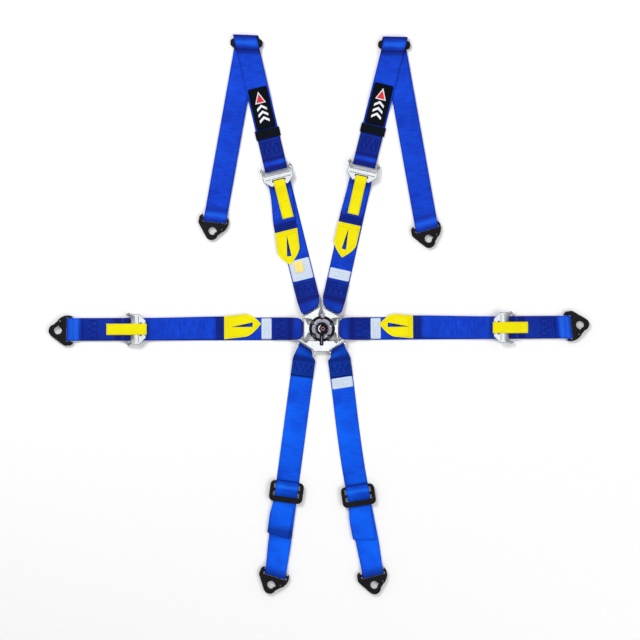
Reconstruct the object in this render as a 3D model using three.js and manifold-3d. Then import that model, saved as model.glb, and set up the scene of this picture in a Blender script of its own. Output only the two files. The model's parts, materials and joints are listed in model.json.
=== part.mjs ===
// Six-point racing harness laid out flat, millimetres, +Z up.
// Origin: centre of the buckle's back face. +Y runs towards the shoulder belts.
// Each belt is built along its own +X in a group that is turned to the belt's heading.
import * as THREE from 'three';
import { mergeVertices } from 'three/addons/utils/BufferGeometryUtils.js';
import Module from 'manifold-3d';

const wasm = await Module();
wasm.setup();

// ---- driving dimensions ----
const GAP = 0.3; // running clearance between pieces
const TONGUE_BAR = 4.3; // centre of the bar that a sewn loop turns on, from the head's slot edge
const WEBBING = { width: 50, thick: 1.5, bunched: 38 };
const TAB = { width: 25, thick: 1.2 };
const BUCKLE = { radius: 28.5, top: 18, wall: 7.2, face: 22.4 };
const SLOT_Z = { low: 7.5, high: 10.5 }; // the tongue plates inside the buckle
const BRACKET = { low: 3.2, high: 6.4, rear: -13, bar: -4.8, barHalf: 2.3 };
const TOP_SLIDE = { length: 71, depth: 31, low: 3.8, high: 6.4, bar: 5, frame: 27.2, lug: 9.5 };
const LEG_SLIDE = { length: 74, depth: 46, low: 5.7, high: 8.7, bar: 7 };
const PIN_Z = 5.4; // adjuster cross bar that holds the upper webbing
const LOCK = { x: -19, z: 4.8, radius: 3 }; // adjuster lock bar

const HALF = WEBBING.thick / 2;
const LAYER = [HALF, WEBBING.thick + 0.4 + HALF, 2 * (WEBBING.thick + 0.4) + HALF]; // stacked layers
const SEWN = 67; // length of a sewn loop from the metal that it holds

const TONGUES = {
  shoulder_left: { angle: 121.5, reach: 45.5 },
  shoulder_right: { angle: 62, reach: 44 },
  lap_left: { angle: 180, reach: 42 },
  lap_right: { angle: 0, reach: 38 },
};
const SHOULDERS = {
  left: { heading: 103.9, adjuster: 323, upper: 103.2, slide: 283, slideAxis: 88,
    anchor: 259.9, run: 398, turn: 3, tail: 106 },
  right: { heading: 77.4, adjuster: 330, upper: 75.9, slide: 271, slideAxis: 88.4,
    anchor: 280.1, run: 411, turn: 6, tail: 106 },
};
const LAPS = {
  left: { heading: 180.2, adjuster: 383, outer: 134, turn: -2, tail: 92 },
  right: { heading: 0.4, adjuster: 377, outer: 131, turn: 5, tail: 88 },
};
const LEGS = {
  left: { start: [-35.5, -38.5], yoke: 236, heading: 262.4, bow: 0, slide: 323, length: 509,
    turn: -10 },
  right: { start: [33.5, -39], yoke: 304, heading: 278.9, bow: -6, slide: 331, length: 509,
    turn: 5 },
};
const LEG_TAIL = 98; // free end beyond the leg slide

const finish = (color, roughness, metalness) =>
  new THREE.MeshStandardMaterial({ color, roughness, metalness });
const FINISH = {
  webbing: finish(0x1f43cf, 0.75, 0),
  yellow: finish(0xf6e70a, 0.7, 0),
  aluminium: finish(0xc9ced6, 0.35, 1),
  chrome: finish(0xd7dde2, 0.15, 1),
  black: finish(0x14151a, 0.45, 0.3),
  ring: finish(0x0b0c10, 0.3, 0.5),
  face: finish(0x9d9fb4, 0.35, 0.8),
  steel: finish(0x8b9095, 0.3, 1),
};

// ---- geometry helpers ----
const rad = THREE.MathUtils.degToRad;
const model = new THREE.Group();

function solid(geometry) {
  const bare = geometry.clone();
  bare.deleteAttribute('normal');
  bare.deleteAttribute('uv');
  const merged = mergeVertices(bare, 1e-4);
  return new wasm.Manifold(new wasm.Mesh({
    numProp: 3,
    vertProperties: new Float32Array(merged.attributes.position.array),
    triVerts: new Uint32Array(merged.index.array),
  }));
}

function geometryOf(body) {
  const mesh = body.getMesh();
  const geometry = new THREE.BufferGeometry();
  geometry.setAttribute('position', new THREE.BufferAttribute(mesh.vertProperties, 3));
  geometry.setIndex(new THREE.BufferAttribute(mesh.triVerts, 1));
  geometry.computeVertexNormals();
  return geometry;
}

const join = (...pieces) => pieces.map(solid).reduce((all, piece) => all.add(piece));
const cut = (body, ...tools) => tools.map(solid).reduce((left, tool) => left.subtract(tool), body);

function plate(shape, low, high, segments = 2) {
  const geometry = new THREE.ExtrudeGeometry(shape, {
    depth: high - low,
    bevelEnabled: false,
    curveSegments: segments,
  });
  return geometry.translate(0, 0, low);
}

function disc(radius, low, high, x = 0, y = 0, sides = 32) {
  const geometry = new THREE.CylinderGeometry(radius, radius, high - low, sides);
  return geometry.rotateX(Math.PI / 2).translate(x, y, (low + high) / 2);
}

// A bar across the belt, centred on it.
function crossBar(radius, halfLength, x, z, sides = 16) {
  return new THREE.CylinderGeometry(radius, radius, 2 * halfLength, sides).translate(x, 0, z);
}

function box(x0, x1, halfWidth, low, high) {
  const geometry = new THREE.BoxGeometry(x1 - x0, 2 * halfWidth, high - low);
  return geometry.translate((x0 + x1) / 2, 0, (low + high) / 2);
}

function roundedRect(x0, x1, halfWidth, radius) {
  const shape = new THREE.Shape();
  shape.absarc(x1 - radius, halfWidth - radius, radius, 0, Math.PI / 2);
  shape.absarc(x0 + radius, halfWidth - radius, radius, Math.PI / 2, Math.PI);
  shape.absarc(x0 + radius, radius - halfWidth, radius, Math.PI, 1.5 * Math.PI);
  shape.absarc(x1 - radius, radius - halfWidth, radius, 1.5 * Math.PI, 2 * Math.PI);
  return shape;
}

function polygon(points) {
  return new THREE.Shape(points.map(([x, y]) => new THREE.Vector2(x, y)));
}

function mirrored(geometry) {
  const flipped = geometry.clone().scale(1, -1, 1);
  const index = flipped.index.array;
  for (let i = 0; i < index.length; i += 3) {
    [index[i], index[i + 1]] = [index[i + 1], index[i]];
  }
  return flipped;
}

function turned(geometry, degrees, x = 0, y = 0) {
  return geometry.rotateZ(rad(degrees)).translate(x, y, 0);
}

// Points of an arc in the side view, around (x, z).
function sideArc(x, z, radius, from, to, steps = 8) {
  const points = [];
  for (let i = 0; i <= steps; i += 1) {
    const angle = rad(from + ((to - from) * i) / steps);
    points.push([x + radius * Math.cos(angle), z + radius * Math.sin(angle)]);
  }
  return points;
}

// Extra points on the long straights, so that the ends can be sheared and the belt bowed smoothly.
function refine(path, zones, bow) {
  const fine = [path[0]];
  for (let i = 1; i < path.length; i += 1) {
    const [x0, z0] = path[i - 1];
    const [x1, z1] = path[i];
    const marks = [];
    for (let k = 1; bow.side !== 0 && k < BOW_STEPS; k += 1) {
      const part = ((k * bow.length) / BOW_STEPS - x0) / (x1 - x0);
      if (part > 0.02 && part < 0.98) marks.push(part);
    }
    for (const zone of zones) {
      for (let k = -5; k <= 5; k += 1) {
        const part = (zone.at + (k * zone.reach) / 5 - x0) / (x1 - x0);
        if (part > 0.02 && part < 0.98) marks.push(part);
      }
    }
    for (const part of marks.sort((a, b) => a - b)) {
      fine.push([x0 + (x1 - x0) * part, z0 + (z1 - z0) * part]);
    }
    fine.push([x1, z1]);
  }
  return fine;
}

// Sideways offset of a belt that doesn't lie quite straight.
const BOW_STEPS = 12;
const STRAIGHT = { side: 0, length: 1 };
const bowAt = ({ side, length }, x) => side * Math.sin((Math.PI * x) / length) ** 2;

// Webbing that follows a side-view path. Each zone narrows it and turns its edge to a skewed bar.
function ribbon(path, options) {
  const { width = WEBBING.width, thick = WEBBING.thick, zones = [], bow = STRAIGHT } = options;
  const points = refine(path, zones, bow).map(([x, z]) => new THREE.Vector2(x, z));
  const left = [];
  const right = [];
  points.forEach((point, i) => {
    const before = point.clone().sub(points[Math.max(i - 1, 0)]).normalize();
    const after = points[Math.min(i + 1, points.length - 1)].clone().sub(point).normalize();
    const along = before.clone().add(after).normalize();
    const steady = i === 0 ? after : before;
    const stretch = thick / 2 / Math.max(along.dot(steady), 0.5);
    left.push(new THREE.Vector2(point.x - along.y * stretch, point.y + along.x * stretch));
    right.push(new THREE.Vector2(point.x + along.y * stretch, point.y - along.x * stretch));
  });
  const outline = new THREE.Shape([...left, ...right.reverse()]);
  const geometry = new THREE.ExtrudeGeometry(outline, { depth: width, bevelEnabled: false });
  geometry.rotateX(Math.PI / 2).translate(0, width / 2, 0);
  const position = geometry.attributes.position;
  for (let i = 0; i < position.count; i += 1) {
    const x = position.getX(i);
    let narrow = 1;
    let shear = 0;
    for (const { at, reach, skew = 0, bunched = width } of zones) {
      const pull = 1 - THREE.MathUtils.smoothstep(Math.abs(x - at), 0.22 * reach, reach);
      narrow *= 1 + (bunched / width - 1) * pull;
      shear += Math.tan(rad(skew)) * pull;
    }
    const across = position.getY(i) * narrow;
    position.setXY(i, x - across * shear, across + bowAt(bow, x));
  }
  return geometry;
}

// ---- placing pieces ----
function frameAt(parent, x, y, heading) {
  const frame = new THREE.Group();
  frame.position.set(x, y, 0);
  frame.rotation.z = rad(heading);
  parent.add(frame);
  return frame;
}

function add(parent, name, piece, material) {
  const geometry = piece instanceof THREE.BufferGeometry ? piece : geometryOf(piece);
  const mesh = new THREE.Mesh(geometry, material);
  mesh.name = name;
  parent.add(mesh);
}

// ---- buckle ----
const SCREW_ANGLES = [20, 146, 221, 308];
const SCREW_RADIUS = 24.3;
const STOP_BUTTON = [1.4, 28];
const PLUNGER = { at: 17, radius: 2.6, head: 3.8 };

function around(angle, radius) {
  return [radius * Math.cos(rad(angle)), radius * Math.sin(rad(angle))];
}

function buildBackCover() {
  const boss = disc(3, 2, 11.5, 0, -PLUNGER.at, 24);
  return join(disc(28, 0, 3), boss);
}

function buildHousing() {
  const slots = Object.values(TONGUES).map(({ angle }) =>
    turned(box(18, 32, 9.8, SLOT_Z.low - 0.6, SLOT_Z.high + 0.6), angle));
  slots.push(turned(box(14, 32, 12.3, SLOT_Z.low - 0.6, SLOT_Z.high + 0.6), 270));
  const screwHoles = SCREW_ANGLES.map((angle) => disc(1.8, 12, 20, ...around(angle, SCREW_RADIUS), 12));
  const bore = disc(BUCKLE.radius - BUCKLE.wall, 0, 30);
  const stopButton = disc(4.8, 13, BUCKLE.top + 2.6, ...STOP_BUTTON, 24);
  const body = join(disc(BUCKLE.radius, 3 + GAP, BUCKLE.top, 0, 0, 64), stopButton);
  return cut(body, bore, ...slots, ...screwHoles);
}

function buildFacePlate() {
  const screws = SCREW_ANGLES.map((angle) => disc(4.6, 10, 30, ...around(angle, SCREW_RADIUS), 24));
  const low = BUCKLE.top + GAP;
  return cut(solid(disc(BUCKLE.face, low, low + 2, 0, 0, 64)), disc(6.6, 0, 30), ...screws,
    disc(5.4, 10, 30, ...STOP_BUTTON, 24));
}

function buildScrew() {
  const low = BUCKLE.top + GAP;
  const socket = new THREE.CylinderGeometry(1.6, 1.6, 3, 6).rotateX(Math.PI / 2);
  return cut(join(disc(3.9, low, low + 2.2, 0, 0, 20), disc(1.5, 12.6, low + 1, 0, 0, 12)),
    socket.translate(0, 0, low + 2.2));
}

function buildTurnHandle() {
  const arm = plate(roundedRect(6, 37, 4, 2.5), 21, 25.2);
  const ridge = box(12, 35.5, 1.2, 24, 26.2);
  const hub = disc(13.2, 20.7, 23.6);
  const recess = disc(9.4, 22.6, 30);
  return cut(join(hub, disc(6, 12.4, 22), arm, ridge), recess);
}

function buildCamPlate() {
  return cut(solid(disc(12.7, 12.6, 14.2)), disc(6.3, 0, 30));
}

function buildHandleSpring() {
  class Coil extends THREE.Curve {
    getPoint(t, target = new THREE.Vector3()) {
      const angle = t * Math.PI * 4.6;
      return target.set(8.2 * Math.cos(angle), 8.2 * Math.sin(angle), 15.1 + 2.4 * t);
    }
  }
  const wire = new THREE.Shape().absarc(0, 0, 0.45, 0, 2 * Math.PI);
  return new THREE.ExtrudeGeometry(wire, { steps: 36, curveSegments: 2, extrudePath: new Coil() });
}

function buildPlunger() {
  const low = SLOT_Z.high + GAP;
  return join(disc(PLUNGER.radius, low, 13.5, 0, 0, 16), disc(PLUNGER.head, 13, 14.6, 0, 0, 20));
}

// Plate with a webbing slot and an outer bar that the webbing turns on.
function tongueHead() {
  return { body: plate(roundedRect(-6.5, TONGUE_BAR + 2, 22.3, 5), SLOT_Z.low, SLOT_Z.high),
    slot: plate(roundedRect(-2.4, TONGUE_BAR - 2, 20.2, 1.5), 0, 20) };
}

function buildTongue(reach) {
  const head = tongueHead();
  const neck = polygon([[11.5, -5.5], [18, -9], [30, -9], [reach - 5, -21], [reach - 5, 21],
    [30, 9], [18, 9], [11.5, 5.5]]);
  const body = join(plate(neck, SLOT_Z.low, SLOT_Z.high), head.body.translate(reach, 0, 0));
  return cut(body, head.slot.translate(reach, 0, 0), disc(3, 0, 20, PLUNGER.at, 0, 24));
}

function buildYoke() {
  const neck = polygon([[-11.8, -11], [-11.8, -27], [-29, -26], [-36, -33], [-21, -50], [17, -50],
    [34, -34], [25, -26], [11.8, -27], [11.8, -11]]);
  const pieces = [plate(neck, SLOT_Z.low, SLOT_Z.high)];
  const slots = [disc(3.3, 0, 20, 0, -PLUNGER.at, 24)];
  for (const leg of Object.values(LEGS)) {
    const head = tongueHead();
    pieces.push(turned(head.body, leg.yoke, ...leg.start));
    slots.push(turned(head.slot, leg.yoke, ...leg.start));
  }
  return cut(join(...pieces), ...slots);
}

function buildBuckle() {
  add(model, 'buckle_back_cover', buildBackCover(), FINISH.steel);
  add(model, 'buckle_housing', buildHousing(), FINISH.ring);
  add(model, 'buckle_face_plate', buildFacePlate(), FINISH.face);
  SCREW_ANGLES.forEach((angle, i) => {
    add(frameAt(model, ...around(angle, SCREW_RADIUS), angle), `buckle_screw_${i + 1}`,
      buildScrew(), FINISH.steel);
  });
  add(frameAt(model, 0, 0, 268), 'turn_handle', buildTurnHandle(), FINISH.ring);
  add(model, 'handle_cap', disc(9.1, 22.9, 24.6), FINISH.ring);
  add(model, 'cam_plate', buildCamPlate(), FINISH.steel);
  add(model, 'handle_spring', buildHandleSpring(), FINISH.steel);
  for (const [belt, { angle, reach }] of Object.entries(TONGUES)) {
    const frame = frameAt(model, 0, 0, angle);
    add(frame, `${belt}_tongue`, buildTongue(reach), FINISH.chrome);
    add(frameAt(frame, PLUNGER.at, 0, 0), `${belt}_plunger`, buildPlunger(), FINISH.steel);
  }
  add(model, 'leg_yoke', buildYoke(), FINISH.chrome);
}

// ---- webbing paths, side view (x along the belt, z up) ----
// The wrap round a tongue's bar, from the sewn layer on top to the main layer below.
function tongueWrap() {
  const middle = (SLOT_Z.low + SLOT_Z.high) / 2;
  return [[SEWN, LAYER[1]], [38, LAYER[1]],
    ...sideArc(TONGUE_BAR, middle, 3.2 + HALF, 75, 285, 10), [33, LAYER[0]]];
}

// The wrap round a bracket's bar, bottom layer first; the loop's outer face is at x = end.
function bracketWrap(end) {
  const middle = (BRACKET.low + BRACKET.high) / 2;
  return [...sideArc(end + BRACKET.bar, middle, middle - HALF, -90, 90, 8),
    [end - 7, 2 * middle - HALF - 0.3], [end - 32, LAYER[1]]];
}

// The wrap round the adjuster's cross bar at x = at, top layer first.
function pinWrap(at) {
  const radius = 2.5 + GAP + HALF;
  return [[at + 24, LAYER[1]], ...sideArc(at, PIN_Z, radius, 75, 285, 12), [at + 16, LAYER[0]]];
}

// The bunched end in a slot that is turned by skew from the belt.
function slotZone(skew) {
  return { at: 3, reach: 46, skew, bunched: WEBBING.bunched * Math.cos(rad(skew)) };
}

// From the tongue along the floor, round the adjuster's lock bar and back on top to the free end.
function buildLowerWebbing(belt, { heading, adjuster, tail }) {
  const radius = LOCK.radius + GAP + HALF;
  const x = adjuster + LOCK.x;
  const path = [...tongueWrap(), ...sideArc(x, LOCK.z, radius, -90, 90, 10),
    [x - 21, 5.2], [x - 39, LAYER[1]], [tail, LAYER[1]]];
  return ribbon(path, { zones: [slotZone(TONGUES[belt].angle - heading)] });
}

// ---- adjusters ----
const ADJUSTER = { low: 11, high: 13.2, start: -11, bend: -24, end: -38, half: 31, cheek: 2.4 };

function buildAdjusterFrame() {
  const { low, high, start, bend, end, half, cheek } = ADJUSTER;
  const outer = half + cheek;
  const outline = polygon([[start, -outer], [start, outer], [bend, outer], [end + 3, 22], [end, 18.5],
    [end, -18.5], [end + 3, -22], [bend, -outer]]);
  const side = new THREE.Shape();
  side.moveTo(bend, high);
  side.lineTo(bend, 6);
  side.quadraticCurveTo(bend, 2, bend + 5, 2);
  side.lineTo(2, 2);
  side.absarc(2, PIN_Z + 0.6, 4, -Math.PI / 2, Math.PI / 2, false);
  side.lineTo(-6, high);
  const cheeks = [1, -1].map((hand) =>
    plate(side, 0, cheek).rotateX(Math.PI / 2).translate(0, hand * (half + cheek / 2) + cheek / 2, 0));
  const slot = plate(roundedRect(-29, -25, 14.5, 1.5), 0, 30);
  return cut(join(plate(outline, low, high), ...cheeks, crossBar(2.5, 35.5, 0, PIN_Z)), slot);
}

// Sewn pull tab: over the plate's lip, and towards the buckle or folded back outwards.
function buildPullTab(folded) {
  const under = ADJUSTER.low - GAP - TAB.thick / 2;
  const over = ADJUSTER.high + GAP + TAB.thick / 2;
  const rest = LAYER[1] + HALF + 0.4 + TAB.thick / 2;
  const hanging = [[-56, 5], [-41, 9], [-38, under], [-27.5, under], [-27, under + 0.6],
    [-27, over - 0.6], [-27.6, over], [-41, over], [-58, 6.6], [-70, rest], [-112, rest]];
  const back = [[-27, over - 1.6], [-27, under + 0.6], [-27.6, under], [-38.8, under],
    [-39.3, under + 0.5], [-39.3, over - 0.5], [-38.8, over], [-6, over], [7, 11.6], [26, rest + 0.4],
    [49, rest]];
  return ribbon(folded ? back : hanging, { width: TAB.width, thick: TAB.thick });
}

function buildAdjuster(belt, frame, folded) {
  add(frame, `${belt}_adjuster_frame`, buildAdjusterFrame(), FINISH.aluminium);
  add(frame, `${belt}_lock_bar`, crossBar(LOCK.radius, ADJUSTER.half - 0.5, LOCK.x, LOCK.z),
    FINISH.aluminium);
  add(frame, `${belt}_pull_tab`, buildPullTab(folded), FINISH.yellow);
}

// ---- three-bar slides ----
function slideWindows(half, nearBar, centreBar, farBar, window) {
  return [[nearBar - half, centreBar[0]], [centreBar[1], half - farBar]].map(([x0, x1]) =>
    plate(roundedRect(x0, x1, window, 1.5), 0, 20));
}

function buildTopSlide() {
  const { length, depth, low, high, bar, frame, lug } = TOP_SLIDE;
  const half = depth / 2;
  const body = join(plate(roundedRect(-half, half, frame, 4), low, high),
    plate(roundedRect(-lug, lug, length / 2, 7.5), low, high));
  return cut(body, ...slideWindows(half, bar, [-2.5, 2.5], bar, frame - 2));
}

function buildLegSlide() {
  const { length, depth, low, high, bar } = LEG_SLIDE;
  const half = depth / 2;
  return cut(solid(plate(roundedRect(-half, half, length / 2, 10), low, high)),
    ...slideWindows(half, bar, [-5, 1], 12, length / 2 - 8));
}

// ---- snap-hook anchor brackets, mouth on the +Y side before mirroring ----
const HOOK = { eye: [21.5, -2.5], eyeRadius: 8.6, lobe: [28, -3.5], lobeRadius: 14, rivet: [17, 17.5] };

function buildBracket() {
  const outline = new THREE.Shape();
  outline.moveTo(BRACKET.rear, 25);
  outline.lineTo(BRACKET.rear, -26);
  outline.absarc(-4, -26, 9, Math.PI, 1.5 * Math.PI);
  outline.absarc(4, -26.5, 9, 1.5 * Math.PI, rad(303));
  outline.absarc(...HOOK.lobe, HOOK.lobeRadius, rad(303), rad(432));
  outline.lineTo(27.2, 8.6);
  outline.quadraticCurveTo(24, 18, 20.5, 22);
  outline.quadraticCurveTo(13, 29.5, 3, 31);
  outline.quadraticCurveTo(-10, 32, BRACKET.rear, 25);
  const { bar, barHalf, rear } = BRACKET;
  const webbingSlot = plate(roundedRect(bar + barHalf, 3.4, 27, 1.6), 0, 10);
  const behind = box(rear - 5, bar - barHalf, 27, 0, 10);
  const eye = disc(HOOK.eyeRadius, 0, 10, ...HOOK.eye, 24);
  const mouth = turned(box(0, 22, 3.7, 0, 10), 78, ...HOOK.eye);
  const rivetHole = disc(2.4, 0, 10, ...HOOK.rivet, 16);
  return cut(solid(plate(outline, BRACKET.low, BRACKET.high, 4)), webbingSlot, behind, eye, mouth,
    rivetHole);
}

// Spring gate across the mouth, with the rivet that it turns on.
function buildGate() {
  const low = BRACKET.high + GAP;
  const leaf = turned(plate(roundedRect(-4.6, 19.5, 4.4, 4.2), low, low + 1.5), -44, ...HOOK.rivet);
  return join(leaf, disc(2, BRACKET.low, low + 2.2, ...HOOK.rivet, 16));
}

function buildAnchor(belt, frame, end, turn, hand) {
  const at = frameAt(frame, end, 0, turn);
  const pieces = { anchor_bracket: buildBracket(), gate: buildGate() };
  for (const [name, piece] of Object.entries(pieces)) {
    const geometry = hand > 0 ? geometryOf(piece) : mirrored(geometryOf(piece));
    add(at, `${belt}_${name}`, geometry, FINISH.black);
  }
}

// ---- belts ----
function buildShoulder(side, layout) {
  const belt = `shoulder_${side}`;
  const { angle, reach } = TONGUES[belt];
  const lower = frameAt(model, ...around(angle, reach), layout.heading);
  add(lower, `${belt}_lower_webbing`, buildLowerWebbing(belt, layout), FINISH.webbing);
  buildAdjuster(belt, frameAt(lower, layout.adjuster, 0, 0), false);

  const upper = frameAt(lower, layout.adjuster, 0, layout.upper - layout.heading);
  const top = layout.slide;
  const over = TOP_SLIDE.high + GAP + HALF;
  const slideSkew = layout.slideAxis - layout.upper;
  const far = top + (TOP_SLIDE.depth / 2 + GAP + HALF) / Math.cos(rad(slideSkew));
  const upperPath = [[SEWN, LAYER[1]], ...pinWrap(0), [top - 150, LAYER[0]], [top - 125, LAYER[2]],
    [top - 29, LAYER[2]], [top - 18, over], [far - 0.7, over], [far, over - 0.7],
    [far, LAYER[1] + 0.7], [far - 0.7, LAYER[1]], [top + 6, LAYER[1]]];
  const upperZones = [{ at: 0, reach: 45, skew: layout.heading - layout.upper },
    { at: top, reach: 90, skew: slideSkew }];
  add(upper, `${belt}_upper_webbing`, ribbon(upperPath, { zones: upperZones }), FINISH.webbing);

  const slide = frameAt(upper, top, 0, slideSkew);
  add(slide, `${belt}_top_slide`, buildTopSlide(), FINISH.black);

  const run = frameAt(slide, 0, 0, layout.anchor - layout.slideAxis);
  const runPath = [[-5.6, LAYER[1]], ...bracketWrap(layout.run).reverse(), [16, LAYER[0]]];
  const zones = [{ at: 0, reach: 60, skew: layout.slideAxis + 180 - layout.anchor },
    { at: layout.run, reach: 75, skew: layout.turn }];
  add(run, `${belt}_anchor_webbing`, ribbon(runPath, { zones }), FINISH.webbing);
  buildAnchor(belt, run, layout.run, layout.turn, 1);
}

function buildLap(side, layout) {
  const belt = `lap_${side}`;
  const { angle, reach } = TONGUES[belt];
  const inner = frameAt(model, ...around(angle, reach), layout.heading);
  add(inner, `${belt}_inner_webbing`, buildLowerWebbing(belt, layout), FINISH.webbing);
  const adjuster = frameAt(inner, layout.adjuster, 0, 0);
  buildAdjuster(belt, adjuster, true);
  const wrap = bracketWrap(layout.outer);
  const meet = layout.outer - 32;
  const path = [[meet - 0.6, LAYER[1]], ...pinWrap(0), ...wrap.slice(0, -1), [meet, LAYER[1]]];
  const zones = [{ at: layout.outer, reach: 75, skew: layout.turn }];
  add(adjuster, `${belt}_outer_webbing`, ribbon(path, { zones }), FINISH.webbing);
  buildAnchor(belt, adjuster, layout.outer, layout.turn, -1);
}

function buildLeg(side, layout) {
  const belt = `leg_${side}`;
  const frame = frameAt(model, ...layout.start, layout.heading);
  const { slide, length } = layout;
  const near = slide - LEG_SLIDE.depth / 2 - GAP - HALF;
  const over = LEG_SLIDE.high + GAP + HALF;
  const path = [...tongueWrap(), ...bracketWrap(length), [near + 0.7, LAYER[1]],
    [near, LAYER[1] + 0.7], [near, over - 0.7], [near + 0.7, over], [slide + 2, over],
    [slide + 9, LAYER[2] + 0.6], [slide + 11, LAYER[2]], [slide + LEG_TAIL, LAYER[2]]];
  const zones = [
    slotZone(layout.yoke - layout.heading),
    { at: length, reach: 75, skew: layout.turn, bunched: 47 },
  ];
  const bow = { side: layout.bow, length };
  add(frame, `${belt}_webbing`, ribbon(path, { zones, bow }), FINISH.webbing);
  add(frameAt(frame, slide, bowAt(bow, slide), 0), `${belt}_slide`, buildLegSlide(), FINISH.black);
  buildAnchor(belt, frame, length, layout.turn, 1);
}

buildBuckle();
Object.entries(SHOULDERS).forEach(([side, layout]) => buildShoulder(side, layout));
Object.entries(LAPS).forEach(([side, layout]) => buildLap(side, layout));
Object.entries(LEGS).forEach(([side, layout]) => buildLeg(side, layout));

export default model;
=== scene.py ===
import json
import math
import random

import bmesh
import bpy
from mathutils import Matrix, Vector


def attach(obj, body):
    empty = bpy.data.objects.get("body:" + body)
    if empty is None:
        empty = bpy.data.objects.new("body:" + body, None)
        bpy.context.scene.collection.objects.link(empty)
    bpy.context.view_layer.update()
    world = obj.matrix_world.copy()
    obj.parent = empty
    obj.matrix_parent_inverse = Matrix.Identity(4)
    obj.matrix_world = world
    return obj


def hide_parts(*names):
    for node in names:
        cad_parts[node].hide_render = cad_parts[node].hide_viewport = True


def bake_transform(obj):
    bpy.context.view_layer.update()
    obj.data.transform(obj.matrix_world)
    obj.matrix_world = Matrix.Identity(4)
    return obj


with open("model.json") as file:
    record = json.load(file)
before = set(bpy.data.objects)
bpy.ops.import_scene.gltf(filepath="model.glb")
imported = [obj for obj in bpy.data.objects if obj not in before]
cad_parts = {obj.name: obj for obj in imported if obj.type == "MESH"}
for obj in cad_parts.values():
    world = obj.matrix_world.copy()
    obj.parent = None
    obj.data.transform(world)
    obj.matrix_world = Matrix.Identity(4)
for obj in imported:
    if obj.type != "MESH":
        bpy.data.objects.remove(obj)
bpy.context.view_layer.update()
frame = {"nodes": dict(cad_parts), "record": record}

random.seed(7)

# ---- dimensions, millimetres, as in the CAD model ----
MM = 0.001
GAP = 0.3  # running clearance between pieces
WIDTH, THICK = 50, 1.5
HALF = THICK / 2
LAYER = [HALF, THICK + 0.4 + HALF, 2 * (THICK + 0.4) + HALF]  # middle of each stacked layer
TOP = [z + HALF for z in LAYER]  # upper face of each stacked layer
SEWN = 67  # length of a sewn loop from the metal that it holds
FOLD = 17.4  # from the middle of a top slide to the axis that the anchor run folds on
LEG_TAIL = 98  # free end beyond the leg slide
TONGUE_BAR = 4.3  # centre of the bar that a sewn loop turns on, from the head's slot edge
BRACKET_BAR, BRACKET_MID = -4.8, 4.8  # a bracket's belt bar: its place along and its height
PIN_Z = 5.4  # height of the adjuster pin that holds the upper webbing
LOCK_BACK, LOCK_Z, LOCK_RADIUS = 19, 4.8, 3  # the lock bar, and how far behind the pin it is
SLIDE_EDGE, SLIDE_TOP = 15.5, 6.4  # a top slide's half depth and upper face
LEG_SLIDE_EDGE, LEG_SLIDE_TOP = 23, 8.7  # the same for a leg slide
LOOP_END = -0.5  # where a sewn loop turns back in a tongue's slot
TONGUES = {  # angle round the buckle, and reach from its centre
    "shoulder_left": (121.5, 45.5),
    "shoulder_right": (62, 44),
    "lap_left": (180, 42),
    "lap_right": (0, 38),
}
# headings and turns are in degrees; drift and lean move the sewn-back tail sideways
SHOULDERS = {
    "left": dict(heading=103.9, adjuster=323, upper=103.2, slide=283, axis=88,
                 anchor=259.9, run=398, turn=3, arrow=(110, 185), drift=11, lean=0.12),
    "right": dict(heading=77.4, adjuster=330, upper=75.9, slide=271, axis=88.4,
                  anchor=280.1, run=411, turn=6, arrow=(120, 196), drift=3, lean=0),
}
LAPS = {
    "left": dict(heading=180.2, adjuster=383, outer=134, turn=-2, arrow=(92, 173),
                 drift=-2.5, lean=-0.11, tab=49),
    "right": dict(heading=0.4, adjuster=377, outer=131, turn=5, arrow=(88, 162),
                  drift=3, lean=0.09, tab=38),
}
LEGS = {
    "left": dict(start=(-35.5, -38.5), yoke=236, heading=262.4, bow=0, slide=323,
                 length=509, turn=-10),
    "right": dict(start=(33.5, -39), yoke=304, heading=278.9, bow=-6, slide=331,
                  length=509, turn=5),
}


def smooth(x, low, high):
    t = min(max((x - low) / (high - low), 0), 1)
    return t * t * (3 - 2 * t)


class Place:
    """A belt's frame: x along the belt, y across, z up."""

    def __init__(self, x, y, heading, zones=(), bow=(0, 1), corner=0):
        self.x, self.y, self.heading = x, y, heading
        self.zones, self.bow, self.corner = list(zones), bow, corner

    def child(self, x, y, turn, zones=(), bow=(0, 1)):
        p = self.at(x, y, 0) / MM
        return Place(p.x, p.y, self.heading + turn, zones, bow)

    def at(self, x, y, z):
        a = math.radians(self.heading)
        return Vector((self.x + x * math.cos(a) - y * math.sin(a),
                       self.y + x * math.sin(a) + y * math.cos(a), z)) * MM

    def on(self, x, across, z, aside=0):
        """A point of the belt, narrowed and sheared as its ends are."""
        narrow, shear = 1, 0
        for at, reach, skew, bunched in self.zones:
            pull = 1 - smooth(abs(x - at), 0.22 * reach, reach)
            narrow *= 1 + (bunched / WIDTH - 1) * pull
            shear += math.tan(math.radians(skew)) * pull
        near_end = self.corner - (x - LOOP_END)
        if 0 < near_end:
            off = self.corner - math.sqrt(max(self.corner ** 2 - near_end ** 2, 0))
            narrow *= 1 - off / (WIDTH / 2 * narrow)
        side, length = self.bow
        bow = side * math.sin(math.pi * x / length) ** 2
        across *= narrow
        return self.at(x - across * shear, across + bow + aside, z)


# ---- materials ----
def material(name, colour, rough, metallic=0.0, **fixed):
    mat = bpy.data.materials.new(name)
    mat.use_nodes = True
    mat.diffuse_color = (*colour, 1)
    shader = mat.node_tree.nodes["Principled BSDF"]
    shader.inputs["Roughness"].default_value = rough
    shader.inputs["Metallic"].default_value = metallic
    for key, value in fixed.items():
        shader.inputs[key.replace("_", " ")].default_value = value
    return mat, shader


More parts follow.
